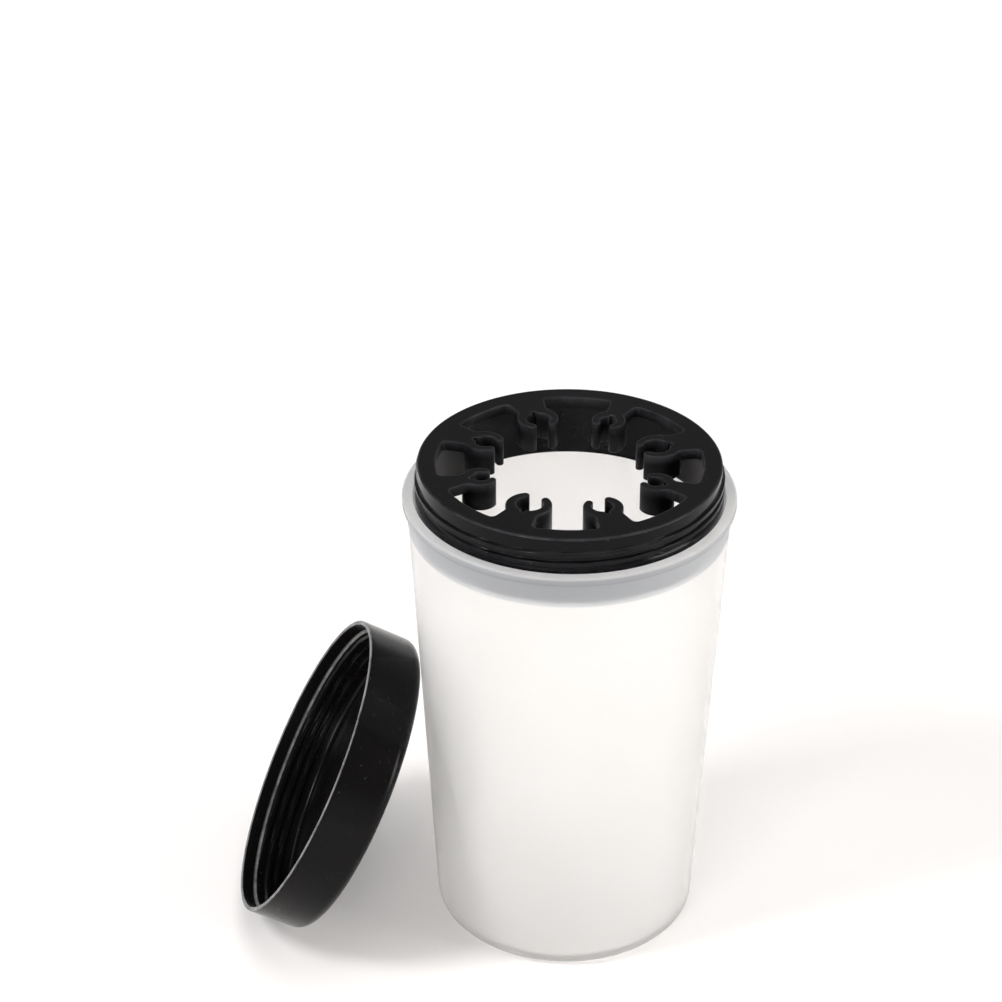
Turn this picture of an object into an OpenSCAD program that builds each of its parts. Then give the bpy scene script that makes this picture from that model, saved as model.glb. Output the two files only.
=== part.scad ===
// Brush washer: a tapered cup, a brush holder pushed into its mouth, and a screw lid leaning on it.
// Millimetres. The origin is the centre of the cup's underside, and +Z is up.

/* [Cup] */
// Height of the cup, from the table to the face of its rim
cup_h = 148; // [125:1:175]
// Outer diameter of the wall at the top
cup_top_d = 97.4; // [90:0.2:110]
// Outer diameter of the wall at the base, before the corner is rounded
cup_base_d = 80.6; // [70:0.2:88]
// Thickness of the side wall
cup_wall = 2.0; // [1.6:0.1:3]
// Thickness of the floor
cup_floor = 2.6; // [2:0.1:4]
// Radius of the rounded corner at the base
cup_corner = 4.5; // [3:0.1:7]
// How far the rim stands out from the wall
rim_lip = 1.3; // [0.8:0.1:2.5]
// Height of the rim's outer edge
rim_h = 2.6; // [2:0.1:4]
// How far the wall flares out under the rim
flare_t = 0.5; // [0.3:0.1:1]
// Height of the flare, with the rim
flare_h = 11; // [6:1:20]

/* [Brush holder] */
// Height of the holder that stands above the rim
holder_proud = 10.5; // [9.5:0.1:14]
// Height of the whole holder
holder_h = 20.8; // [18:0.2:30]
// Thickness of the ring's wall behind the thread
ring_wall = 2.4; // [1.8:0.1:3]
// How much the inside of the skirt narrows towards its foot
skirt_draft = 0.8; // [0:0.1:1.2]
// Thickness of the top plate
plate_t = 3.2; // [2.4:0.1:4]
// Width of the plain band outside the windows
band_w = 5.6; // [4.5:0.1:7]
// Bevel round the top edge
ring_bevel = 0.5; // [0.2:0.1:1]

/* [Brush clips] */
// From the windows' outer edge to the middle of a clip
clip_reach = 11.4; // [10.6:0.1:12.4]
// Depth of a clip
clip_h = 8.8; // [7:0.2:12]
// Thickness of a clip's arms
clip_wall = 2.6; // [2:0.1:3]
// Bore of the two widest clips
wide_bore = 8.2; // [7.8:0.1:8.8]
// Bore of the large clip
large_bore = 7.4; // [7:0.1:8]
// Bore of the medium clips
medium_bore = 6.6; // [6:0.1:7]
// Bore of the small clips
small_bore = 5.2; // [4.6:0.1:5.6]
// Mouth of the widest clips
wide_mouth = 4.4; // [3.6:0.1:5]
// Mouth of the large clip
large_mouth = 4; // [3.4:0.1:4.6]
// Mouth of the medium clips
medium_mouth = 4; // [3.2:0.1:4.4]
// Mouth of the small clips
small_mouth = 3.4; // [2.6:0.1:3.6]
// Narrowest width of the widest clips' necks
wide_neck = 10; // [8:0.2:11]
// Narrowest width of the large clip's neck
large_neck = 9.2; // [7.6:0.2:10]
// Narrowest width of the medium clips' necks
medium_neck = 8.4; // [7:0.2:9]
// Narrowest width of the small clips' necks
small_neck = 6; // [5:0.2:7.6]
// Angle at which each side of a neck spreads towards the band
neck_flare = 12; // [4:1:16]
// Radius of the hollow between a clip and its neck
shoulder_r = 2.5; // [1.5:0.1:3]
// Radius of the windows' corners
window_corner = 1.5; // [0.8:0.1:2]
// Diameter of the relief slot behind a bore
relief_d = 1.8; // [1.2:0.1:2.2]
// Angle of the first clip, anticlockwise from the right
clip_turn = 19; // [0:1:44]

/* [Thread] */
// Rise of the thread in one turn
thread_pitch = 3; // [2.9:0.1:3.2]
// Height of a thread ridge above its wall
thread_rise = 0.8; // [0.6:0.1:0.9]
// Width of a ridge at its foot
thread_foot = 2.2; // [1.8:0.1:2.4]
// Width of a ridge at its crest
thread_crest = 1.1; // [0.6:0.1:1.2]
// Turns of the thread on the ring
thread_turns = 2; // [1.25:0.25:2]
// Turns of the thread in the lid
lid_thread_turns = 2.5; // [1.5:0.25:2.5]

/* [Lid] */
// Height of the lid
lid_h = 18; // [17.6:0.2:24]
// Thickness of the lid's skirt behind the thread
lid_wall = 2.1; // [1.8:0.1:2.4]
// How much thinner the skirt is at the lip
lid_step = 0.7; // [0.4:0.1:1]
// Depth of the thin part of the skirt, from the lip
lid_step_h = 3.8; // [3:0.1:4]
// Thickness of the lid's closed face
lid_top = 1.8; // [1.4:0.1:2.6]
// Outer radius of the rounded edge of the closed face
lid_edge = 3.3; // [2.6:0.1:5]
// How much the skirt narrows towards the closed face
lid_draft = 0.2; // [0:0.1:0.6]
// Lean of the lid's closed face, from upright
lid_lean = 26.8; // [15:0.2:40]
// Where round the cup the lid leans, anticlockwise from straight left
lid_turn = 1.6; // [-5:0.2:5]

/* [Clearances] */
// Gap all round between the holder's skirt and the cup
skirt_gap = 0.3; // [0.2:0.05:0.5]
// Gap all round between the lid's wall and the ring's thread
thread_gap = 0.3; // [0.2:0.05:0.4]
// Gap between the leaning lid and the cup's wall
lean_gap = 0.3; // [0.2:0.1:0.5]

/* [Hidden] */
$fn = 96;
cut = 1;
cup_milk = [0.93, 0.93, 0.91];
holder_black = [0.10, 0.10, 0.11];
lid_black = [0.07, 0.07, 0.08];

// Points of an arc, from one angle to another
arc_steps = 8;
function arc(x, y, r, from, to) = [
    for (i = [0 : arc_steps])
        let (a = from + (to - from) * i / arc_steps)
            [x + r * cos(a), y + r * sin(a)]
];

// Cup
top_r = cup_top_d / 2;
base_r = cup_base_d / 2;
wall_slope = (top_r - base_r) / cup_h;
wall_draft = atan(wall_slope);
rim_r = top_r + rim_lip;
rim_round = 0.8;
mouth_bevel = 0.3;
inner_corner = cup_corner - cup_wall / 2;
function wall_r(z) = base_r + wall_slope * z;
function inside_r(z) = wall_r(z) - cup_wall;

// Holder: the skirt in the mouth, the thread above it, and the circle of the windows
ring_top = cup_h + holder_proud;
ring_foot = ring_top - holder_h;
crest_inset = 0.2;
skirt_r = inside_r(cup_h) - skirt_gap;
skirt_foot_r = inside_r(ring_foot) - skirt_gap;
crest_r = skirt_r - crest_inset;
root_r = crest_r - thread_rise;
foot_step = 0.8;
window_r = root_r - band_w;
skirt_in_r = root_r - ring_wall;

// Clips, counted anticlockwise from the right
clips = 8;
clip_pitch = 360 / clips;
clip_r = window_r - clip_reach;
wide = [wide_bore, wide_mouth, wide_neck];
large = [large_bore, large_mouth, large_neck];
medium = [medium_bore, medium_mouth, medium_neck];
small = [small_bore, small_mouth, small_neck];
clip_sizes = [wide, small, large, medium, small, wide, medium, small];
relief_out = 0.4;
tip_step = 0.01;

// Thread: ridges rise anticlockwise, and fade out at both ends
thread_steps = 60;
thread_fade = 0.12;
thread_least = 0.04;
thread_sink = 0.15;
ring_thread_z = ring_top - 8.8;
ring_thread_turn = 200;
lid_thread_z = lid_step_h + lid_step + thread_foot / 2;
lid_thread_turn = 0;

// Lid: its own frame has the open rim at z = 0 and the closed face up
lid_bore_r = crest_r + thread_gap;
lid_lip_r = lid_bore_r + lid_step;
lid_r = lid_bore_r + lid_wall;
lid_top_r = lid_r - lid_draft;
lid_inner_edge = lid_edge - lid_wall;
lip_bevel = 0.3;
edge_r = lid_top_r - lid_edge;
edge_h = lid_h - lid_edge;

// Where the lid leans: its closed edge stands on the table and rests on the cup's wall
lid_z = edge_h * sin(lid_lean) + edge_r * cos(lid_lean) + lid_edge;
lean_z = lid_z - edge_h * sin(lid_lean) + edge_r * cos(lid_lean);
lean_x = -wall_r(lean_z) - (lid_edge + lean_gap) / cos(wall_draft);
lid_x = lean_x - edge_h * cos(lid_lean) - edge_r * sin(lid_lean);

// Centre of a corner of radius r that stands at z and meets a wall of the cup's slope
function corner_x(wall, r) = wall - r / cos(wall_draft);

module cup_outline() {
    inner_z = cup_floor + inner_corner;
    rim_foot = cup_h - rim_h;
    polygon(concat(
        [[0, 0]],
        arc(corner_x(wall_r(cup_corner), cup_corner), cup_corner, cup_corner, -90, -wall_draft),
        [
            [wall_r(cup_h - flare_h), cup_h - flare_h],
            [wall_r(rim_foot) + flare_t, rim_foot - rim_round]
        ],
        arc(rim_r - rim_round, rim_foot + rim_round, rim_round, -90, 0),
        arc(rim_r - rim_round, cup_h - rim_round, rim_round, 0, 90),
        [
            [inside_r(cup_h) + mouth_bevel, cup_h],
            [inside_r(cup_h - mouth_bevel), cup_h - mouth_bevel]
        ],
        arc(corner_x(inside_r(inner_z), inner_corner), inner_z, inner_corner, -wall_draft, -90),
        [[0, cup_floor]]
    ));
}

module cup() {
    color(cup_milk) rotate_extrude() cup_outline();
}

// A helical ridge on a wall of radius wall: side 1 points outwards, side -1 inwards
function ridge_size(t, turns) = max(thread_least, min(1, t / thread_fade, (turns - t) / thread_fade));
function ridge_section(wall, side, t, turns) = let (
    foot = thread_foot / 2,
    crest = thread_crest / 2,
    z = thread_pitch * t,
    in = wall - side * thread_sink,
    out = wall + side * thread_rise * ridge_size(t, turns)
) side > 0
    ? [[in, z - foot], [out, z - crest], [out, z + crest], [in, z + foot]]
    : [[in, z + foot], [out, z + crest], [out, z - crest], [in, z - foot]];

module thread_ridge(wall, side, turns) {
    rings = round(turns * thread_steps);
    last = 4 * rings;
    points = [
        for (i = [0 : rings])
            let (t = turns * i / rings)
                for (p = ridge_section(wall, side, t, turns))
                    [p[0] * cos(360 * t), p[0] * sin(360 * t), p[1]]
    ];
    sides = [
        for (i = [0 : rings - 1])
            for (j = [0 : 3])
                let (a = 4 * i + j, b = 4 * i + (j + 1) % 4)
                    for (f = [[a, b, b + 4], [a, b + 4, a + 4]]) f
    ];
    ends = [[0, 2, 1], [0, 3, 2], [last, last + 1, last + 2], [last, last + 2, last + 3]];
    polyhedron(points, concat(sides, ends));
}

// The band, the threaded wall and the skirt
module ring_outline() {
    polygon([
        [window_r, ring_top],
        [root_r - ring_bevel, ring_top],
        [root_r, ring_top - ring_bevel],
        [root_r, cup_h + foot_step + thread_rise],
        [crest_r, cup_h + foot_step],
        [crest_r, cup_h],
        [skirt_foot_r, ring_foot + ring_bevel],
        [skirt_foot_r - ring_bevel, ring_foot],
        [skirt_in_r - skirt_draft, ring_foot],
        [skirt_in_r, ring_top - plate_t],
        [window_r, ring_top - plate_t]
    ]);
}

module holder_ring() {
    color(holder_black) {
        rotate_extrude() ring_outline();
        translate([0, 0, ring_thread_z]) rotate(ring_thread_turn) thread_ridge(root_r, 1, thread_turns);
    }
}

// How far from p along the direction d a circle of radius r round the origin is met
function reach(p, d, r) = -p * d + sqrt(pow(p * d, 2) - p * p + r * r);

// One side of a neck: the hollow beside the clip, the spreading side, and the window's corner
function neck_side(outer_r, side) = let (
    shoulder_x = clip_r + sqrt(pow(outer_r + shoulder_r, 2) - pow(side + shoulder_r, 2)),
    shoulder_y = side + shoulder_r,
    start = atan2(shoulder_y, shoulder_x - clip_r),
    along = [cos(neck_flare), sin(neck_flare)],
    inwards = [sin(neck_flare), -cos(neck_flare)],
    foot = [shoulder_x, shoulder_y] + shoulder_r * inwards,
    corner_from = foot - window_corner * inwards,
    corner = corner_from + reach(corner_from, along, window_r - window_corner) * along,
    turn = atan2(corner[1], corner[0])
) concat(
    arc(shoulder_x, shoulder_y, shoulder_r, 180 + start, 270 + neck_flare),
    arc(corner[0], corner[1], window_corner, 270 + neck_flare, 360 + turn),
    [(window_r + cut) * [cos(turn), sin(turn)]]
);

module neck_outline(outer_r, side) {
    half = neck_side(outer_r, side);
    last = len(half) - 1;
    polygon(concat(
        [[clip_r, 0]],
        [for (i = [0 : last]) [half[i][0], -half[i][1]]],
        [for (i = [last : -1 : 0]) half[i]]
    ));
}

// One clip with its neck, lying along +X with the ring's axis at the origin
module clip_solid(bore, mouth, neck) {
    outer_r = bore / 2 + clip_wall;
    arm_r = outer_r - clip_wall / 2;
    tip_turn = asin((mouth + clip_wall) / 2 / arm_r);
    difference() {
        union() {
            translate([clip_r, 0, 0]) cylinder(h = clip_h, r = outer_r);
            intersection() {
                translate([0, 0, clip_h - plate_t])
                    linear_extrude(plate_t) neck_outline(outer_r, neck / 2);
                cylinder(h = clip_h + cut, r = window_r);
            }
        }
        translate([clip_r, 0, -cut]) {
            cylinder(h = clip_h + 2 * cut, d = bore);
            translate([bore / 2 + relief_out, 0, 0]) cylinder(h = clip_h + 2 * cut, d = relief_d);
            linear_extrude(clip_h + 2 * cut) polygon([
                [0, 0],
                2 * outer_r * [-cos(tip_turn), sin(tip_turn)],
                2 * outer_r * [-cos(tip_turn), -sin(tip_turn)]
            ]);
        }
    }
    for (side = [-1, 1])
        translate([clip_r - arm_r * cos(tip_turn), side * arm_r * sin(tip_turn), 0])
            cylinder(h = clip_h, d = clip_wall - 2 * tip_step);
}

module brush_clip(i) {
    color(holder_black)
    rotate(clip_turn + clip_pitch * i)
    translate([0, 0, ring_top - clip_h])
    clip_solid(clip_sizes[i][0], clip_sizes[i][1], clip_sizes[i][2]);
}

module lid_outline() {
    ceiling = lid_h - lid_top;
    inner_r = lid_top_r - lid_wall - lid_inner_edge;
    polygon(concat(
        [
            [lid_bore_r, lid_step_h + lid_step],
            [lid_lip_r, lid_step_h],
            [lid_lip_r, 0],
            [lid_r - lip_bevel, 0],
            [lid_r, lip_bevel]
        ],
        arc(edge_r, edge_h, lid_edge, 0, 90),
        [[0, lid_h], [0, ceiling]],
        arc(inner_r, ceiling - lid_inner_edge, lid_inner_edge, 90, 0)
    ));
}

module lid() {
    color(lid_black)
    rotate(lid_turn)
    translate([lid_x, 0, lid_z])
    rotate([0, 90 + lid_lean, 0]) {
        rotate_extrude() lid_outline();
        translate([0, 0, lid_thread_z])
            rotate(lid_thread_turn)
            thread_ridge(lid_bore_r, -1, lid_thread_turns);
    }
}

cup();
holder_ring();
brush_clip(0);  // brush_clip_1
brush_clip(1);  // brush_clip_2
brush_clip(2);  // brush_clip_3
brush_clip(3);  // brush_clip_4
brush_clip(4);  // brush_clip_5
brush_clip(5);  // brush_clip_6
brush_clip(6);  // brush_clip_7
brush_clip(7);  // brush_clip_8
lid();
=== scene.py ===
# Brush washer: a frosted cup, a black brush holder in its mouth, and the glossy lid leaning on it.
from math import acos, asin, atan2, cos, degrees, hypot, pi, radians, sin, sqrt, tau

import bpy
from mathutils import Matrix, Vector
from mathutils.geometry import tessellate_polygon


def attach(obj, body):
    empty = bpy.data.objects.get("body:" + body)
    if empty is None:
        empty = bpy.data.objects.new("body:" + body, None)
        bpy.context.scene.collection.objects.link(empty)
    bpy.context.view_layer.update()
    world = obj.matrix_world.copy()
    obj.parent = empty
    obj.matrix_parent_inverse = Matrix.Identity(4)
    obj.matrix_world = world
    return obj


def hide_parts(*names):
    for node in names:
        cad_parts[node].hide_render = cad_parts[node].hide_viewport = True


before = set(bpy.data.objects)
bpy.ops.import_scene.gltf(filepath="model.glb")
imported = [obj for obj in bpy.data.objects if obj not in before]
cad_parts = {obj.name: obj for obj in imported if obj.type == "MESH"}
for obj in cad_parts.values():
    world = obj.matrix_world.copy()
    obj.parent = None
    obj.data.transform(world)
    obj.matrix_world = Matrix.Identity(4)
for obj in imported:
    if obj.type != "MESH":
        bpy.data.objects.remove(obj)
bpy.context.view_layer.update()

mm = 0.001


# small helpers
def arcPoints(x, y, r, start, end, steps):
    # points of an arc, angles in degrees
    points = []
    for i in range(steps + 1):
        a = radians(start + (end - start) * i / steps)
        points.append((x + r * cos(a), y + r * sin(a)))
    return points


def smoothStep(t):
    t = max(0.0, min(1.0, t))
    return t * t * (3 - 2 * t)


def makePiece(name, vertices, faces, sharpAngle):
    # vertices are in millimetres
    mesh = bpy.data.meshes.new(name)
    mesh.from_pydata([(x * mm, y * mm, z * mm) for x, y, z in vertices], [], faces)
    mesh.validate()
    piece = bpy.data.objects.new(name, mesh)
    bpy.context.scene.collection.objects.link(piece)
    bpy.context.view_layer.objects.active = piece
    piece.select_set(True)
    bpy.ops.object.mode_set(mode="EDIT")
    bpy.ops.mesh.select_all(action="SELECT")
    bpy.ops.mesh.normals_make_consistent(inside=False)
    bpy.ops.object.mode_set(mode="OBJECT")
    piece.select_set(False)
    mesh.shade_smooth()
    mesh.set_sharp_from_angle(angle=radians(sharpAngle))
    return piece


def keepValues(piece, name, values):
    # a value at every vertex, which the piece's material reads
    attribute = piece.data.attributes.new(name, "FLOAT", "POINT")
    attribute.data.foreach_set("value", values)


def bridgeRows(rowA, rowB):
    # quads between two closed rows of vertex numbers
    count = len(rowA)
    quads = []
    for i in range(count):
        j = (i + 1) % count
        quads.append((rowA[i], rowA[j], rowB[j], rowB[i]))
    return quads


def turnOutline(outline, segments, bump=None):
    # an outline of (r, z) points turned round the Z axis; a point with r = 0 becomes one vertex
    vertices, rows, faces = [], [], []
    for r, z in outline:
        if r == 0:
            vertices.append((0, 0, z))
            rows.append([len(vertices) - 1] * segments)
            continue
        row = []
        for i in range(segments):
            a = tau * i / segments
            rr = r + bump(r, z, degrees(a)) if bump else r
            vertices.append((rr * cos(a), rr * sin(a), z))
            row.append(len(vertices) - 1)
        rows.append(row)
    for a, b in zip(rows, rows[1:]):
        for i in range(segments):
            j = (i + 1) % segments
            quad = [a[i], a[j], b[j], b[i]]
            face = [v for k, v in enumerate(quad) if v != quad[k - 1]]
            faces.append(face)
    return vertices, rows, faces


# camera, floor and lights
studio = {
    "cameraAt": (-20.39, -774.19, 597.57),
    "cameraTarget": (-20.39, 0.0, 144.68),
    "lens": 107.78,
    "sensor": 36,
    "seesTo": 50,
    "floorSize": 8.0,
    "floorColour": (0.83, 0.81, 0.805, 1),
    "floorRoughness": 0.9,
    "floorGloss": 0.1,
    "floorLift": 0.10,
    "farLift": 0.35,
    "farFrom": 0.16,
    "farTo": 0.60,
    # the sky of the studio: pale near the horizon, dimmer above
    "horizonLight": 1.0,
    "zenithLight": 0.26,
    "horizonEnds": 0.10,
    "zenithStarts": 0.34,
    "lamps": [
        # name, place, target, size, power, colour
        ("topSoftbox", (0.20, 0.25, 1.9), (0, 0.1, 0), 1.5, 15.0, (1.0, 0.99, 0.97)),
        ("frontSoftbox", (-0.50, -1.05, 0.28), (0, 0, 0.05), 0.5, 8.6, (1.0, 0.98, 0.95)),
        ("rightSoftbox", (1.05, -0.30, 0.35), (0, 0, 0.06), 0.6, 10.0, (1.0, 0.98, 0.95)),
        ("leftSoftbox", (-0.80, -0.32, 1.0), (0, 0, 0.12), 0.32, 8.0, (1.0, 1.0, 1.0)),
    ],
}


def aimAt(thing, target):
    direction = Vector(target) - thing.location
    thing.rotation_euler = direction.to_track_quat("-Z", "Y").to_euler()


def makeCamera():
    data = bpy.data.cameras.new("photoCamera")
    data.lens = studio["lens"]
    data.sensor_width = studio["sensor"]
    data.sensor_fit = "HORIZONTAL"
    data.clip_end = studio["seesTo"]
    camera = bpy.data.objects.new("photoCamera", data)
    camera.location = [c * mm for c in studio["cameraAt"]]
    bpy.context.scene.collection.objects.link(camera)
    aimAt(camera, [c * mm for c in studio["cameraTarget"]])
    bpy.context.scene.camera = camera


def seenBackground(nodes, links):
    # 1 for camera, glossy and transmission rays
    path = nodes.new("ShaderNodeLightPath")
    total = nodes.new("ShaderNodeMath")
    total.operation = "MAXIMUM"
    links.new(path.outputs["Is Camera Ray"], total.inputs[0])
    links.new(path.outputs["Is Transmission Ray"], total.inputs[1])
    whole = nodes.new("ShaderNodeMath")
    whole.operation = "MAXIMUM"
    links.new(total.outputs[0], whole.inputs[0])
    links.new(path.outputs["Is Glossy Ray"], whole.inputs[1])
    return whole.outputs[0]


def makeFloor():
    half = studio["floorSize"] / 2
    mesh = bpy.data.meshes.new("floor")
    corners = [(-half, -half, 0), (half, -half, 0), (half, half, 0), (-half, half, 0)]
    mesh.from_pydata(corners, [], [(0, 1, 2, 3)])
    floor = bpy.data.objects.new("floor", mesh)
    bpy.context.scene.collection.objects.link(floor)
    material = bpy.data.materials.new("paleFloor")
    material.use_nodes = True
    nodes, links = material.node_tree.nodes, material.node_tree.links
    shader = nodes["Principled BSDF"]
    shader.inputs["Base Color"].default_value = studio["floorColour"]
    shader.inputs["Roughness"].default_value = studio["floorRoughness"]
    shader.inputs["Specular IOR Level"].default_value = studio["floorGloss"]
    shader.inputs["Emission Color"].default_value = (1, 1, 1, 1)
    # the floor fades to white away from the object, whose shadow it keeps
    place = nodes.new("ShaderNodeTexCoord")
    away = nodes.new("ShaderNodeVectorMath")
    away.operation = "LENGTH"
    fade = nodes.new("ShaderNodeMapRange")
    fade.interpolation_type = "SMOOTHSTEP"
    fade.inputs["From Min"].default_value = studio["farFrom"]
    fade.inputs["From Max"].default_value = studio["farTo"]
    fade.inputs["To Min"].default_value = studio["floorLift"]
    fade.inputs["To Max"].default_value = studio["farLift"]
    links.new(place.outputs["Object"], away.inputs[0])
    links.new(away.outputs["Value"], fade.inputs["Value"])
    lift = nodes.new("ShaderNodeMath")
    lift.operation = "MULTIPLY"
    links.new(seenBackground(nodes, links), lift.inputs[0])
    links.new(fade.outputs["Result"], lift.inputs[1])
    links.new(lift.outputs[0], shader.inputs["Emission Strength"])
    mesh.materials.append(material)


def makeLights():
    world = bpy.data.worlds.new("studioWorld")
    bpy.context.scene.world = world
    world.use_nodes = True
    nodes, links = world.node_tree.nodes, world.node_tree.links
    place = nodes.new("ShaderNodeTexCoord")
    height = nodes.new("ShaderNodeSeparateXYZ")
    strength = nodes.new("ShaderNodeMapRange")
    strength.interpolation_type = "SMOOTHSTEP"
    strength.inputs["From Min"].default_value = studio["horizonEnds"]
    strength.inputs["From Max"].default_value = studio["zenithStarts"]
    strength.inputs["To Min"].default_value = studio["horizonLight"]
    strength.inputs["To Max"].default_value = studio["zenithLight"]
    links.new(place.outputs["Generated"], height.inputs[0])
    links.new(height.outputs["Z"], strength.inputs["Value"])
    background = nodes["Background"]
    background.inputs["Color"].default_value = (1, 1, 1, 1)
    links.new(strength.outputs["Result"], background.inputs["Strength"])
    for name, place, target, size, power, colour in studio["lamps"]:
        data = bpy.data.lights.new(name, "AREA")
        data.size = size
        data.energy = power
        data.color = colour
        lamp = bpy.data.objects.new(name, data)
        lamp.location = place
        bpy.context.scene.collection.objects.link(lamp)
        aimAt(lamp, target)


makeCamera()
makeFloor()
makeLights()
bpy.context.scene.view_settings.view_transform = "Standard"
print("stage: camera, floor and lights")


# shader node groups
def newGroup(name, inputs, outputs):
    group = bpy.data.node_groups.new(name, "ShaderNodeTree")
    for socket, kind, value in inputs:
        made = group.interface.new_socket(name=socket, in_out="INPUT", socket_type=kind)
        made.default_value = value
    for socket, kind in outputs:
        group.interface.new_socket(name=socket, in_out="OUTPUT", socket_type=kind)
    return group, group.nodes.new("NodeGroupInput"), group.nodes.new("NodeGroupOutput")


def mouldedGrainGroup():
    # fine tooled grain of a moulded surface: a small height and a drift in roughness
    group, given, out = newGroup("mouldedGrain", [
        ("Scale", "NodeSocketFloat", 900.0),
        ("Drift Scale", "NodeSocketFloat", 40.0),
        ("Rough Low", "NodeSocketFloat", 0.3),
        ("Rough High", "NodeSocketFloat", 0.4),
    ], [
        ("Roughness", "NodeSocketFloat"),
        ("Height", "NodeSocketFloat"),
        ("Drift", "NodeSocketFloat"),
    ])
    nodes, links = group.nodes, group.links
    place = nodes.new("ShaderNodeTexCoord")
    fine = nodes.new("ShaderNodeTexNoise")
    fine.inputs["Detail"].default_value = 3
    drift = nodes.new("ShaderNodeTexNoise")
    drift.inputs["Detail"].default_value = 5
    drift.inputs["Roughness"].default_value = 0.6
    spread = nodes.new("ShaderNodeMapRange")
    spread.inputs["From Min"].default_value = 0.3
    spread.inputs["From Max"].default_value = 0.7
    links.new(place.outputs["Object"], fine.inputs["Vector"])
    links.new(place.outputs["Object"], drift.inputs["Vector"])
    links.new(given.outputs["Scale"], fine.inputs["Scale"])
    links.new(given.outputs["Drift Scale"], drift.inputs["Scale"])
    links.new(drift.outputs["Fac"], spread.inputs["Value"])
    links.new(given.outputs["Rough Low"], spread.inputs["To Min"])
    links.new(given.outputs["Rough High"], spread.inputs["To Max"])
    links.new(spread.outputs["Result"], out.inputs["Roughness"])
    links.new(fine.outputs["Fac"], out.inputs["Height"])
    links.new(drift.outputs["Fac"], out.inputs["Drift"])
    return group


hairScratches = {
    # turn in degrees and how fine, for each direction
    "ways": [((20, 35, 10), 14.0), ((-50, 15, 65), 20.0), ((80, -30, -25), 17.0)],
    "long": 0.4,
    "from": 0.70,
    "to": 0.76,
}


def hairScratchGroup():
    # sparse hair-fine scratches in three directions, as a mask
    group, given, out = newGroup("hairScratches", [
        ("Scale", "NodeSocketFloat", 60.0),
        ("Amount", "NodeSocketFloat", 0.5),
    ], [("Mask", "NodeSocketFloat")])
    nodes, links = group.nodes, group.links
    place = nodes.new("ShaderNodeTexCoord")
    sizes = nodes.new("ShaderNodeVectorMath")
    sizes.operation = "SCALE"
    links.new(place.outputs["Object"], sizes.inputs[0])
    links.new(given.outputs["Scale"], sizes.inputs["Scale"])
    total = None
    for turn, fineness in hairScratches["ways"]:
        mapping = nodes.new("ShaderNodeMapping")
        mapping.inputs["Rotation"].default_value = [radians(t) for t in turn]
        mapping.inputs["Scale"].default_value = (fineness, hairScratches["long"], fineness)
        noise = nodes.new("ShaderNodeTexNoise")
        noise.inputs["Scale"].default_value = 1.0
        noise.inputs["Detail"].default_value = 1
        keep = nodes.new("ShaderNodeMapRange")
        keep.inputs["From Min"].default_value = hairScratches["from"]
        keep.inputs["From Max"].default_value = hairScratches["to"]
        links.new(sizes.outputs[0], mapping.inputs["Vector"])
        links.new(mapping.outputs[0], noise.inputs["Vector"])
        links.new(noise.outputs["Fac"], keep.inputs["Value"])
        if total is None:
            total = keep.outputs["Result"]
        else:
            add = nodes.new("ShaderNodeMath")
            add.operation = "MAXIMUM"
            links.new(total, add.inputs[0])
            links.new(keep.outputs["Result"], add.inputs[1])
            total = add.outputs[0]
    amount = nodes.new("ShaderNodeMath")
    amount.operation = "MULTIPLY"
    links.new(total, amount.inputs[0])
    links.new(given.outputs["Amount"], amount.inputs[1])
    links.new(amount.outputs[0], out.inputs["Mask"])
    return group


def rubbedHighlitEdgeGroup():
    # edges painted paler, partly handling wear and partly painted edge highlight, broken up by
    # noise; the edge attribute on the mesh says where
    group, given, out = newGroup("rubbedHighlitEdges", [
        ("Base", "NodeSocketColor", (0.03, 0.03, 0.03, 1)),
        ("Rubbed", "NodeSocketColor", (0.2, 0.2, 0.2, 1)),
        ("Amount", "NodeSocketFloat", 0.6),
        ("Scale", "NodeSocketFloat", 120.0),
    ], [("Color", "NodeSocketColor"), ("Mask", "NodeSocketFloat")])
    nodes, links = group.nodes, group.links
    edge = nodes.new("ShaderNodeAttribute")
    edge.attribute_name = "edgeRubHighlight"
    place = nodes.new("ShaderNodeTexCoord")
    noise = nodes.new("ShaderNodeTexNoise")
    noise.inputs["Detail"].default_value = 6
    noise.inputs["Roughness"].default_value = 0.65
    broken = nodes.new("ShaderNodeMapRange")
    broken.inputs["From Min"].default_value = 0.35
    broken.inputs["From Max"].default_value = 0.65
    broken.inputs["To Min"].default_value = 0.25
    both = nodes.new("ShaderNodeMath")
    both.operation = "MULTIPLY"
    amount = nodes.new("ShaderNodeMath")
    amount.operation = "MULTIPLY"
    mix = nodes.new("ShaderNodeMix")
    mix.data_type = "RGBA"
    links.new(place.outputs["Object"], noise.inputs["Vector"])
    links.new(given.outputs["Scale"], noise.inputs["Scale"])
    links.new(noise.outputs["Fac"], broken.inputs["Value"])
    links.new(edge.outputs["Fac"], both.inputs[0])
    links.new(broken.outputs["Result"], both.inputs[1])
    links.new(both.outputs[0], amount.inputs[0])
    links.new(given.outputs["Amount"], amount.inputs[1])
    links.new(amount.outputs[0], mix.inputs["Factor"])
    links.new(given.outputs["Base"], mix.inputs["A"])
    links.new(given.outputs["Rubbed"], mix.inputs["B"])
    links.new(mix.outputs["Result"], out.inputs["Color"])
    links.new(amount.outputs[0], out.inputs["Mask"])
    return group


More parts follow.
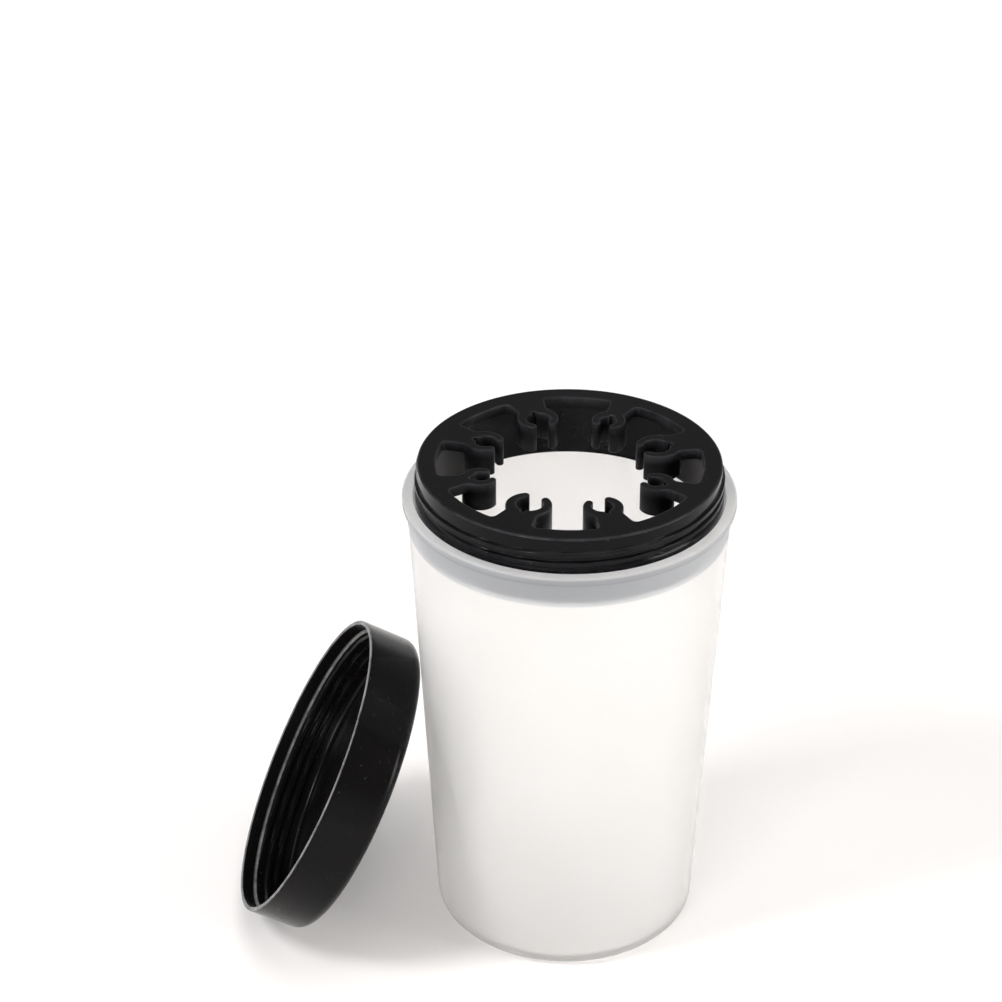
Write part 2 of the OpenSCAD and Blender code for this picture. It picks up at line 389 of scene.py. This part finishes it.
def dustGroup():
    # small pale specks of dust and dried paint water
    group, given, out = newGroup("dustSpecks", [
        ("Scale", "NodeSocketFloat", 300.0),
        ("Share", "NodeSocketFloat", 0.06),
        ("Size", "NodeSocketFloat", 0.25),
    ], [("Mask", "NodeSocketFloat")])
    nodes, links = group.nodes, group.links
    place = nodes.new("ShaderNodeTexCoord")
    cells = nodes.new("ShaderNodeTexVoronoi")
    chosen = nodes.new("ShaderNodeSeparateColor")
    few = nodes.new("ShaderNodeMath")
    few.operation = "LESS_THAN"
    near = nodes.new("ShaderNodeMath")
    near.operation = "LESS_THAN"
    both = nodes.new("ShaderNodeMath")
    both.operation = "MULTIPLY"
    links.new(place.outputs["Object"], cells.inputs["Vector"])
    links.new(given.outputs["Scale"], cells.inputs["Scale"])
    links.new(cells.outputs["Color"], chosen.inputs[0])
    links.new(chosen.outputs[0], few.inputs[0])
    links.new(given.outputs["Share"], few.inputs[1])
    links.new(cells.outputs["Distance"], near.inputs[0])
    links.new(given.outputs["Size"], near.inputs[1])
    links.new(few.outputs[0], both.inputs[0])
    links.new(near.outputs[0], both.inputs[1])
    links.new(both.outputs[0], out.inputs["Mask"])
    return group


groups = {
    "grain": mouldedGrainGroup(),
    "scratches": hairScratchGroup(),
    "edges": rubbedHighlitEdgeGroup(),
    "dust": dustGroup(),
}
print("stage: shader groups")


def startMaterial(name):
    material = bpy.data.materials.new(name)
    material.use_nodes = True
    nodes, links = material.node_tree.nodes, material.node_tree.links
    return material, nodes, links, nodes["Principled BSDF"]


def addGroup(nodes, kind, **values):
    node = nodes.new("ShaderNodeGroup")
    node.node_tree = groups[kind]
    for socket, value in values.items():
        node.inputs[socket.replace("_", " ")].default_value = value
    return node


grainDepth = 0.0002  # metres


def grainBump(nodes, links, grain, strength, shader):
    bump = nodes.new("ShaderNodeBump")
    bump.inputs["Strength"].default_value = strength
    bump.inputs["Distance"].default_value = grainDepth
    links.new(grain.outputs["Height"], bump.inputs["Height"])
    links.new(bump.outputs["Normal"], shader.inputs["Normal"])


def addGrain(nodes, f):
    low, high = f["roughness"]
    return addGroup(nodes, "grain", Scale=f["grainScale"], Drift_Scale=f["driftScale"],
                    Rough_Low=low, Rough_High=high)


def mixed(nodes, links, factor, a, b):
    # colour or value b laid over a by a mask; a and b are sockets or plain values
    isColour = any(getattr(x, "type", "") == "RGBA" or isinstance(x, tuple) for x in (a, b))
    mix = nodes.new("ShaderNodeMix")
    mix.data_type = "RGBA" if isColour else "FLOAT"
    for socket, value in (("Factor", factor), ("A", a), ("B", b)):
        target = next(s for s in mix.inputs if s.name == socket and s.enabled)
        if isinstance(value, bpy.types.NodeSocket):
            links.new(value, target)
        else:
            target.default_value = value
    return next(s for s in mix.outputs if s.enabled)


def blackPlastic(name, f):
    # black plastic with a faint bloom, paler edges (handling wear and painted edge highlight),
    # hair scratches and specks of dust
    material, nodes, links, shader = startMaterial(name)
    grain = addGrain(nodes, f)
    edges = addGroup(nodes, "edges", Rubbed=f["rubbedHighlit"], Amount=f["rubHighlightShare"], Scale=f["rubHighlightScale"])
    scratches = addGroup(nodes, "scratches", Scale=f["scratchScale"], Amount=f["scratches"])
    dust = addGroup(nodes, "dust", Scale=f["dustScale"], Share=f["dustShare"], Size=f["dustSize"])
    base = mixed(nodes, links, grain.outputs["Drift"], f["colour"], f["bloom"])
    links.new(base, edges.inputs["Base"])
    dusty = mixed(nodes, links, dust.outputs["Mask"], edges.outputs["Color"], f["dust"])
    links.new(dusty, shader.inputs["Base Color"])
    rough = mixed(nodes, links, scratches.outputs["Mask"], grain.outputs["Roughness"],
                  f["scratchRoughness"])
    if "polished" in f:
        polish = nodes.new("ShaderNodeAttribute")
        polish.attribute_name = "polish"
        rough = mixed(nodes, links, polish.outputs["Fac"], rough, f["polished"])
    links.new(rough, shader.inputs["Roughness"])
    shader.inputs["Specular IOR Level"].default_value = f["gloss"]
    grainBump(nodes, links, grain, f["grainBump"], shader)
    return material


# the cup, in millimetres
cupSizes = {
    "height": 148.0,
    "topRadius": 48.7,
    "baseRadius": 40.3,
    "wall": 2.0,
    "floor": 2.6,
    "corner": 4.5,
    "rimLip": 1.3,
    "rimHeight": 2.6,
    "rimRound": 0.8,
    "mouthRound": 0.4,
    "flare": 0.5,
    "flareHeight": 11.0,
    "flatRadius": 20.0,
    "wallSteps": 32,
    "flareSteps": 30,
    "insideSteps": 60,
    "insideCrowding": 1.6,
    "segments": 256,
    "sharpAngle": 40,
}

cupFinish = {
    "colour": (0.975, 0.966, 0.952, 1),
    "shade": (0.962, 0.960, 0.958, 1),
    # painted shade of the holder's dark skirt seen through the wall: its tint, and heights in
    # millimetres
    "band": (0.56, 0.585, 0.62, 1),
    "bandShare": 0.9,
    "bandFrom": 137.1,
    "bandTo": 137.9,
    "bandBelowRim": 0.2,
    "bandTopFade": 0.6,
    # the shaded line under the rim's lip
    "underLip": (0.50, 0.52, 0.55, 1),
    "lipShare": 0.6,
    "lipDrop": 1.8,
    "lipSpread": 1.6,
    "clear": 0.82,
    "ior": 1.49,
    "gloss": 0.5,
    "roughness": (0.60, 0.70),
    "grainScale": 1400.0,
    "driftScale": 28.0,
    "grainBump": 0.08,
    "scratchScale": 30.0,
    "scratches": 0.35,
    "scratchRoughness": 0.9,
    "coat": 0.35,
    "coatRoughness": 0.20,
}


def cupWall(z):
    c = cupSizes
    return c["baseRadius"] + (c["topRadius"] - c["baseRadius"]) * z / c["height"]


def cupOutline():
    c = cupSizes
    h, corner, rimRound = c["height"], c["corner"], c["rimRound"]
    draft = atan2(c["topRadius"] - c["baseRadius"], h)
    rimR = c["topRadius"] + c["rimLip"]
    rimFoot = h - c["rimHeight"]
    inner = corner - c["wall"] / 2
    innerZ = c["floor"] + inner
    insideR = lambda z: cupWall(z) - c["wall"]
    tilt = degrees(draft)
    points = [(0, 0), (c["flatRadius"], 0)]
    points += arcPoints(cupWall(corner) - corner / cos(draft), corner, corner, -90, -tilt, 12)
    for i in range(1, c["wallSteps"] + 1):
        z = corner + (h - c["flareHeight"] - corner) * i / c["wallSteps"]
        points.append((cupWall(z), z))
    for i in range(1, c["flareSteps"] + 1):
        t = i / c["flareSteps"]
        z = h - c["flareHeight"] + (c["flareHeight"] - c["rimHeight"] - rimRound) * t
        points.append((cupWall(z) + c["flare"] * smoothStep(t), z))
    points += arcPoints(rimR - rimRound, rimFoot + rimRound, rimRound, -90, 0, 6)
    points += arcPoints(rimR - rimRound, h - rimRound, rimRound, 0, 90, 6)
    mouth = c["mouthRound"]
    points += arcPoints(insideR(h) + mouth, h - mouth, mouth, 90, 180, 5)
    for i in range(1, c["insideSteps"] + 1):
        # the points crowd towards the mouth
        t = (i / c["insideSteps"]) ** c["insideCrowding"]
        z = h - mouth + (innerZ - h + mouth) * t
        points.append((insideR(z), z))
    points += arcPoints(insideR(innerZ) - inner / cos(draft), innerZ, inner, -tilt, -90, 10)[1:]
    points += [(c["flatRadius"], c["floor"]), (0, c["floor"])]
    return points


def frostedPlastic():
    # milky polypropylene, partly see-through; painted shade where the dark skirt lies behind the
    # wall and under the rim's lip
    f = cupFinish
    material, nodes, links, shader = startMaterial("frostedPolypropylene")
    grain = addGrain(nodes, f)
    scratches = addGroup(nodes, "scratches", Scale=f["scratchScale"], Amount=f["scratches"])
    tint = mixed(nodes, links, grain.outputs["Drift"], f["colour"], f["shade"])
    for zone, colour in (("skirtShadeZone", f["band"]), ("lipZone", f["underLip"])):
        place = nodes.new("ShaderNodeAttribute")
        place.attribute_name = zone
        tint = mixed(nodes, links, place.outputs["Fac"], tint, colour)
    links.new(tint, shader.inputs["Base Color"])
    rough = mixed(nodes, links, scratches.outputs["Mask"], grain.outputs["Roughness"],
                  f["scratchRoughness"])
    links.new(rough, shader.inputs["Roughness"])
    grainBump(nodes, links, grain, f["grainBump"], shader)
    shader.inputs["Transmission Weight"].default_value = f["clear"]
    shader.inputs["Coat Weight"].default_value = f["coat"]
    shader.inputs["Coat Roughness"].default_value = f["coatRoughness"]
    shader.inputs["IOR"].default_value = f["ior"]
    shader.inputs["Specular IOR Level"].default_value = f["gloss"]
    return material


def makeCup():
    c, f = cupSizes, cupFinish
    vertices, _, faces = turnOutline(cupOutline(), c["segments"])
    cup = makePiece("frostedCup", vertices, faces, c["sharpAngle"])
    # outside only: painted shade where the wall lies on the holder's dark skirt, and the painted
    # shaded line under the lip
    skirtShadeZone, lipZone = [], []
    rimFace = c["height"]
    for x, y, z in vertices:
        below = smoothStep((z - f["bandFrom"]) / (f["bandTo"] - f["bandFrom"]))
        above = smoothStep((rimFace - f["bandBelowRim"] - z) / f["bandTopFade"])
        line = smoothStep(1 - abs(z - rimFace + f["lipDrop"]) / f["lipSpread"])
        outside = 1.0 if hypot(x, y) > cupWall(z) - c["wall"] / 2 else 0.0
        skirtShadeZone.append(f["bandShare"] * below * above * outside)
        lipZone.append(f["lipShare"] * line * outside)
    keepValues(cup, "skirtShadeZone", skirtShadeZone)
    keepValues(cup, "lipZone", lipZone)
    cup.data.materials.append(frostedPlastic())
    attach(cup, "cup")
    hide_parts("cup")


makeCup()
print("stage: cup")


# the brush holder, in millimetres and degrees
holderSizes = {
    "top": 158.5,
    "rimFace": 148.0,
    "foot": 137.7,
    "rootRadius": 45.4,
    "crestRadius": 46.2,
    "windowRadius": 39.8,
    "skirtFootRadius": 45.81,
    "skirtInside": 43.0,
    "skirtInsideFoot": 42.2,
    "plate": 3.2,
    "flange": 0.8,
    "flangeRound": 0.1,
    "flangeDrop": 0.15,
    "edge": 0.5,
    "topFlat": 0.2,
    "footCorner": 0.3,  # as a share of the edge
    "insideBevel": 0.3,
    "innerFlat": 0.15,
    "clipDepth": 8.8,
    "clipEdge": 0.35,
    "clipReach": 28.2,
    "boreShift": 0.5,
    "neckFlare": 12.0,
    "shoulder": 2.5,
    "windowCorner": 1.5,
    "reliefRadius": 0.8,
    "reliefOut": 0.4,
    "clipTurn": 19.0,
    "wallSteps": 56,
    "insideSteps": 6,
    "windowSteps": 12,
    "segments": 384,
    "sharpAngle": 35,
    # how much each edge is painted paler, as wear and painted edge highlight, and the share of a
    # thread's rise where its crest begins
    "plateRubHighlight": 1.0,
    "plateTopRubHighlight": 0.7,
    "clipFootRubHighlight": 0.6,
    "crestRubHighlight": 0.2,
    "crestFrom": 0.7,
}

# bore, wall, mouth and neck of each size of clip
clipKinds = {
    "wide": (8.0, 2.8, 4.2, 10.0),
    "large": (7.2, 2.7, 4.0, 9.2),
    "medium": (6.4, 2.7, 4.0, 8.4),
    "small": (5.0, 2.7, 3.4, 6.0),
}
# anticlockwise from the right
clipOrder = ["wide", "small", "large", "medium", "small", "wide", "medium", "small"]

threadShape = {
    "pitch": 3.0,
    "rise": 0.8,
    "foot": 2.2,
    "crest": 1.1,
    "fade": 0.12,
    "ringStart": 149.7,
    "ringTurn": 200.0,
    "ringTurns": 2.0,
    "lidStart": 5.6,
    "lidTurn": 0.0,
    "lidTurns": 2.5,
}


def threadHeight(z, angle, start, turn, turns):
    # height of the helical ridge over its wall, at a height z and an angle in degrees
    t = threadShape
    height = 0.0
    part = ((angle - turn) % 360) / 360
    while part <= turns:
        away = abs(z - start - t["pitch"] * part)
        side = smoothStep((t["foot"] / 2 - away) / (t["foot"] / 2 - t["crest"] / 2))
        ends = smoothStep(min(part, turns - part) / t["fade"])
        height = max(height, t["rise"] * side * ends)
        part += 1
    return height


def clipHalf(kind):
    # half of a clip's outline, y > 0: from the relief slot round the tip and out to the window
    h = holderSizes
    bore, wall, mouth, neck = clipKinds[kind]
    b, outer, shift, reach = bore / 2, bore / 2 + wall, h["boreShift"], h["clipReach"]
    boreX = reach - shift
    inner = lambda a: shift * cos(a) + sqrt(b * b - (shift * sin(a)) ** 2)
    tipWall = wall - shift
    mouthTurn = asin((mouth / 2 + tipWall / 2) / (outer - tipWall / 2))
    cap = (outer - inner(mouthTurn)) / 2
    tipR = inner(mouthTurn) + cap
    tip = (reach - tipR * cos(mouthTurn), tipR * sin(mouthTurn))
    # relief slot behind the bore
    out = b + h["reliefOut"]
    rr = h["reliefRadius"]
    meet = acos((b * b + out * out - rr * rr) / (2 * b * out))
    slotTurn = degrees(atan2(b * sin(meet), b * cos(meet) - out))
    clip = arcPoints(boreX + out, 0, rr, 0, slotTurn, 6)
    tipIn = inner(mouthTurn)
    boreEnd = degrees(atan2(tipIn * sin(mouthTurn), shift - tipIn * cos(mouthTurn)))
    clip += arcPoints(boreX, 0, b, degrees(meet), boreEnd, 22)[1:]
    clip += arcPoints(tip[0], tip[1], cap, -degrees(mouthTurn), -180 - degrees(mouthTurn), 10)[1:]
    # hollow shoulder, the neck's straight side and the window's corner
    flare, fs, fb = h["neckFlare"], h["shoulder"], h["windowCorner"]
    half = neck / 2
    shoulderX = reach + sqrt((outer + fs) ** 2 - (half + fs) ** 2)
    shoulderTurn = degrees(atan2(half + fs, shoulderX - reach))
    clip += arcPoints(reach, 0, outer, 180 - degrees(mouthTurn), shoulderTurn, 18)[1:]
    side = arcPoints(shoulderX, half + fs, fs, 180 + shoulderTurn, 270 + flare, 8)[1:]
    along = Vector((cos(radians(flare)), sin(radians(flare))))
    inwards = Vector((along.y, -along.x))
    foot = Vector((shoulderX, half + fs)) + fs * inwards
    start = foot - fb * inwards
    far = h["windowRadius"] - fb
    step = -start.dot(along) + sqrt(start.dot(along) ** 2 - start.length_squared + far * far)
    corner = start + step * along
    turn = degrees(atan2(corner.y, corner.x))
    side += arcPoints(corner.x, corner.y, fb, 270 + flare, 360 + turn, 6)
    return clip, side, outer, shoulderTurn


def turned(point, angle):
    x, y = point
    return x * cos(angle) - y * sin(angle), x * sin(angle) + y * cos(angle)


def clipPlan():
    # the whole inner outline of the plate, anticlockwise, with the clip that owns each point
    h = holderSizes
    points, owner, arcs = [], [], []
    windowR = h["windowRadius"]
    halves = {kind: clipHalf(kind) for kind in clipKinds}
    count = len(clipOrder)
    for i, kind in enumerate(clipOrder):
        clip, side, outer, shoulderTurn = halves[kind]
        turn = radians(h["clipTurn"]) + tau * i / count
        mirrored = lambda line: [(x, -y) for x, y in reversed(line)]
        stretches = ((mirrored(side), None), (mirrored(clip[1:]), i), (clip, i), (side, None))
        for stretch, who in stretches:
            points += [turned(p, turn) for p in stretch]
            owner += [who] * len(stretch)
        arc = arcPoints(h["clipReach"], 0, outer, shoulderTurn, -shoulderTurn, 16)[1:-1]
        arcs.append([turned(p, turn) for p in arc])
        # along the window to the next clip
        nextSide = halves[clipOrder[(i + 1) % count]][1]
        a0 = turn + atan2(side[-1][1], side[-1][0])
        a1 = turn + tau / count - atan2(nextSide[-1][1], nextSide[-1][0])
        for k in range(1, h["windowSteps"]):
            a = a0 + (a1 - a0) * k / h["windowSteps"]
            points.append((windowR * cos(a), windowR * sin(a)))
            owner.append(None)
    return points, owner, arcs


def materialSide(points):
    # the way into the material at each point of a closed outline, whose open side is on its left
    ways = []
    count = len(points)
    for i in range(count):
        a, b, c = Vector(points[i - 1]), Vector(points[i]), Vector(points[(i + 1) % count])
        d1, d2 = (b - a).normalized(), (c - b).normalized()
        n = Vector((d1.y + d2.y, -d1.x - d2.x)).normalized()
        stretch = 1 / max(0.75, n.dot(Vector((d1.y, -d1.x))))
        ways.append(n * stretch)
    return ways


def roundedEdge(radius, steps=3):
    # (into the material, down from the face) for a rounded edge, from the face to the wall
    turns = [pi / 2 * i / steps for i in range(steps + 1)]
    return [(radius * (1 - sin(a)), radius * (1 - cos(a))) for a in turns]


def makeHolder():
    h = holderSizes
    top, plateZ, clipZ = h["top"], h["top"] - h["plate"], h["top"] - h["clipDepth"]
    t = threadShape
    # outside, from the top face down over the thread and the skirt, and up inside to the plate
    edge = h["edge"]
    outline = [(h["rootRadius"] - edge - h["topFlat"], top)]
    outline += [(h["rootRadius"] - a, top - b) for a, b in roundedEdge(edge, 4)]
    wallFoot = h["rimFace"] + h["flange"] + t["rise"]
    steps = h["wallSteps"]
    for i in range(1, steps + 1):
        outline.append((h["rootRadius"], top - edge + (wallFoot - top + edge) * i / steps))
    crestR, skirtR, foot = h["crestRadius"], h["skirtFootRadius"], h["foot"]
    flangeTop = h["rimFace"] + h["flange"]
    corner = edge * h["footCorner"]
    outline += [
        (crestR - h["flangeRound"], flangeTop + h["flangeRound"]),
        (crestR, flangeTop - h["flangeDrop"]),
        (crestR, h["rimFace"]),
        (skirtR, foot + edge),
        (skirtR - corner, foot + corner),
        (skirtR - edge, foot),
    ]
    insideFoot, bevel = h["skirtInsideFoot"], h["insideBevel"]
    outline += [(insideFoot + bevel, foot), (insideFoot, foot + bevel)]
    for i in range(1, h["insideSteps"] + 1):
        f = i / h["insideSteps"]
        outline.append((insideFoot + (h["skirtInside"] - insideFoot) * f,
                        foot + bevel + (plateZ - foot - bevel) * f))

    def ridge(r, z, angle):
        if r == h["rootRadius"] and wallFoot - 0.01 <= z < top - edge:
            return threadHeight(z, angle, t["ringStart"], t["ringTurn"], t["ringTurns"])
        return 0.0

    vertices, rows, faces = turnOutline(outline, h["segments"], ridge)
    # paler edges at the top rim, plate edges, clip feet and thread crests: handling wear and
    # painted edge highlight
    edgeRubHighlight = [0.0] * len(vertices)
    polish = [1.0] * len(vertices)
    for row in rows[:5]:
        for v in row:
            polish[v] = 0.0
    for row in rows[1:6]:
        for v in row:
            edgeRubHighlight[v] = 1.0
    crestFrom = h["rootRadius"] + h["crestFrom"] * t["rise"]
    for row in rows:
        for v in row:
            x, y, z = vertices[v]
            if wallFoot < z < top - edge and hypot(x, y) > crestFrom:
                edgeRubHighlight[v] = h["crestRubHighlight"]

    def addRow(points, z, rubHighlight=0.0):
        start = len(vertices)
        for x, y in points:
            vertices.append((x, y, z))
            edgeRubHighlight.append(rubHighlight)
            polish.append(0.0)
        return list(range(start, len(vertices)))

    points, owner, arcs = clipPlan()
    ways = materialSide(points)
    count = len(points)
    shifted = lambda into: [(p[0] + w.x * into, p[1] + w.y * into) for p, w in zip(points, ways)]
    # the plate's inner edge, from the top face down to the plate's underside
    rounded = roundedEdge(h["clipEdge"], 3)
    levels = [addRow(shifted(rounded[0][0] + h["innerFlat"]), top)]
    for into, down in rounded:
        rubHighlight = h["plateRubHighlight"] if down else h["plateTopRubHighlight"]
        levels.append(addRow(shifted(into), top - down, rubHighlight))
    levels.append(addRow(points, plateZ))
    for a, b in zip(levels, levels[1:]):
        faces += bridgeRows(a, b)

    def fillFlat(loops):
        numbers = [v for loop in loops for v in loop]
        flat = [[Vector((vertices[v][0], vertices[v][1], 0)) for v in loop] for loop in loops]
        for tri in tessellate_polygon(flat):
            faces.append(tuple(numbers[k] for k in tri))

    fillFlat([rows[0], levels[0]])
    # underside of the plate, round the clips' tubes
    under = levels[-1]
    inner = []
    arcRows = [addRow(arc, plateZ) for arc in arcs]
    k = 0
    while k < count:
        who = owner[k]
        if who is None:
            inner.append(under[k])
            k += 1
            continue
        first = k
        while k < count and owner[k] == who:
            k += 1
        inner.append(under[first])
        inner += list(reversed(arcRows[who]))
        inner.append(under[k - 1])
    fillFlat([rows[-1], inner])
    # the clips' tubes under the plate
    for i in range(len(clipOrder)):
        mine = [k for k in range(count) if owner[k] == i]
        loop = [under[k] for k in mine] + arcRows[i]
        flat = [(vertices[v][0], vertices[v][1]) for v in loop]
        loopWays = materialSide(flat)
        last = loop
        for into, down in reversed(rounded):
            moved = [(p[0] + w.x * into, p[1] + w.y * into) for p, w in zip(flat, loopWays)]
            row = addRow(moved, clipZ + down, h["clipFootRubHighlight"])
            faces.extend(bridgeRows(last, row))
            last = row
        fillFlat([last])

    holder = makePiece("brushHolder", vertices, faces, h["sharpAngle"])
    keepValues(holder, "edgeRubHighlight", edgeRubHighlight)
    keepValues(holder, "polish", polish)
    holder.data.materials.append(blackPlastic("satinBlackPlastic", holderFinish))
    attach(holder, "holder")
    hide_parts("holder_ring", *[f"brush_clip_{i + 1}" for i in range(len(clipOrder))])


holderFinish = {
    "colour": (0.0018, 0.0017, 0.0022, 1),
    "bloom": (0.0036, 0.0034, 0.0042, 1),
    # colour of the paler edges: handling wear and painted edge highlight
    "rubbedHighlit": (0.045, 0.045, 0.05, 1),
    "dust": (0.045, 0.044, 0.042, 1),
    "roughness": (0.32, 0.42),
    # roughness of the wall with the thread and of the skirt
    "polished": 0.15,
    "gloss": 0.10,
    "grainScale": 1600.0,
    "driftScale": 60.0,
    "grainBump": 0.12,
    "rubHighlightShare": 0.55,
    "rubHighlightScale": 180.0,
    "scratchScale": 60.0,
    "scratches": 0.6,
    "scratchRoughness": 0.26,
    "dustScale": 1100.0,
    "dustShare": 0.02,
    "dustSize": 0.22,
}


makeHolder()
print("stage: brush holder")


# the lid, in millimetres and degrees
lidSizes = {
    "height": 18.0,
    "bore": 46.5,
    "lipBore": 47.2,
    "stepHeight": 3.8,
    "stepRound": 0.25,
    "radius": 48.6,
    "topRadius": 48.4,
    "wall": 2.1,
    "ceiling": 1.8,
    "edge": 3.3,
    "innerEdge": 1.2,
    "lipRound": 0.3,
    "lean": 26.8,
    "turn": 1.6,
    "place": (-82.118, 0.0, 50.184),
    "threadRoom": 1.3,
    "threadStep": 0.15,
    "wallSteps": 8,
    "flatEdge": 0.4,
    "flatRadius": 20.0,
    "lipRubHighlight": 0.8,
    "segments": 384,
    "sharpAngle": 35,
}

lidFinish = {
    "colour": (0.002, 0.0018, 0.002, 1),
    "bloom": (0.0045, 0.004, 0.0042, 1),
    # pale lip and step edges: painted highlight on the rim, with some wear
    "rubbedHighlit": (0.30, 0.30, 0.30, 1),
    "dust": (0.03, 0.03, 0.03, 1),
    "roughness": (0.16, 0.24),
    "gloss": 0.10,
    "grainScale": 500.0,
    "driftScale": 35.0,
    "grainBump": 0.03,
    "rubHighlightShare": 0.6,
    "rubHighlightScale": 160.0,
    "scratchScale": 45.0,
    "scratches": 0.7,
    "scratchRoughness": 0.4,
    "dustScale": 900.0,
    "dustShare": 0.015,
    "dustSize": 0.2,
}


def makeLid():
    s, t = lidSizes, threadShape
    ceiling = s["height"] - s["ceiling"]
    lip = s["lipRound"]
    edgeR, edgeH = s["topRadius"] - s["edge"], s["height"] - s["edge"]
    innerR = s["topRadius"] - s["wall"] - s["innerEdge"]
    threadTop = t["lidStart"] + t["pitch"] * t["lidTurns"] + s["threadRoom"]
    stepFoot, stepTop = s["stepHeight"], s["stepHeight"] + s["lipBore"] - s["bore"]
    outline = [(s["bore"], threadTop)]
    steps = round((threadTop - stepTop) / s["threadStep"])
    for i in range(1, steps):
        outline.append((s["bore"], threadTop - (threadTop - stepTop) * i / steps))
    # the step to the wider bore at the lip, its inner edge rounded
    bend = s["stepRound"]
    outline += arcPoints(s["bore"] + bend, stepTop, bend, 180, 225, 3)
    outline += [(s["lipBore"], stepFoot), (s["lipBore"], lip)]
    outline += arcPoints(s["lipBore"] + lip, lip, lip, 180, 270, 4)[1:]
    outline += arcPoints(s["radius"] - lip, lip, lip, -90, 0, 4)
    for i in range(1, s["wallSteps"] + 1):
        f = i / s["wallSteps"]
        outline.append((s["radius"] + (s["topRadius"] - s["radius"]) * f, lip + (edgeH - lip) * f))
    outline += arcPoints(edgeR, edgeH, s["edge"], 0, 90, 14)[1:]
    flat = s["flatRadius"]
    outline += [(r, s["height"]) for r in (edgeR - s["flatEdge"], flat, 0)]
    outline += [(r, ceiling) for r in (0, flat, innerR - s["flatEdge"])]
    outline += arcPoints(innerR, ceiling - s["innerEdge"], s["innerEdge"], 90, 0, 10)

    def ridge(r, z, angle):
        if r == s["bore"] and stepTop < z < threadTop:
            return -threadHeight(z, angle, t["lidStart"], t["lidTurn"], t["lidTurns"])
        return 0.0

    vertices, rows, faces = turnOutline(outline, s["segments"], ridge)
    faces += bridgeRows(rows[-1], rows[0])
    # the lip and the bore's step get paler edges: painted highlight, with some wear
    edgeRubHighlight = [0.0] * len(vertices)
    for row, (r, z) in zip(rows, outline):
        if z < lip * s["lipRubHighlight"] or abs(z - stepTop) < bend:
            for v in row:
                edgeRubHighlight[v] = 1.0
    # from the lid's own frame, open rim down, to where it leans
    lean = Matrix.Rotation(radians(s["turn"]), 4, "Z") @ Matrix.Translation(Vector(s["place"]))
    lean = lean @ Matrix.Rotation(radians(90 + s["lean"]), 4, "Y")
    vertices = [tuple(lean @ Vector(v)) for v in vertices]
    lid = makePiece("screwLid", vertices, faces, s["sharpAngle"])
    keepValues(lid, "edgeRubHighlight", edgeRubHighlight)
    lid.data.materials.append(blackPlastic("glossBlackPlastic", lidFinish))
    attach(lid, "lid")
    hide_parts("lid")


makeLid()
print("stage: lid")

print("stage: done")
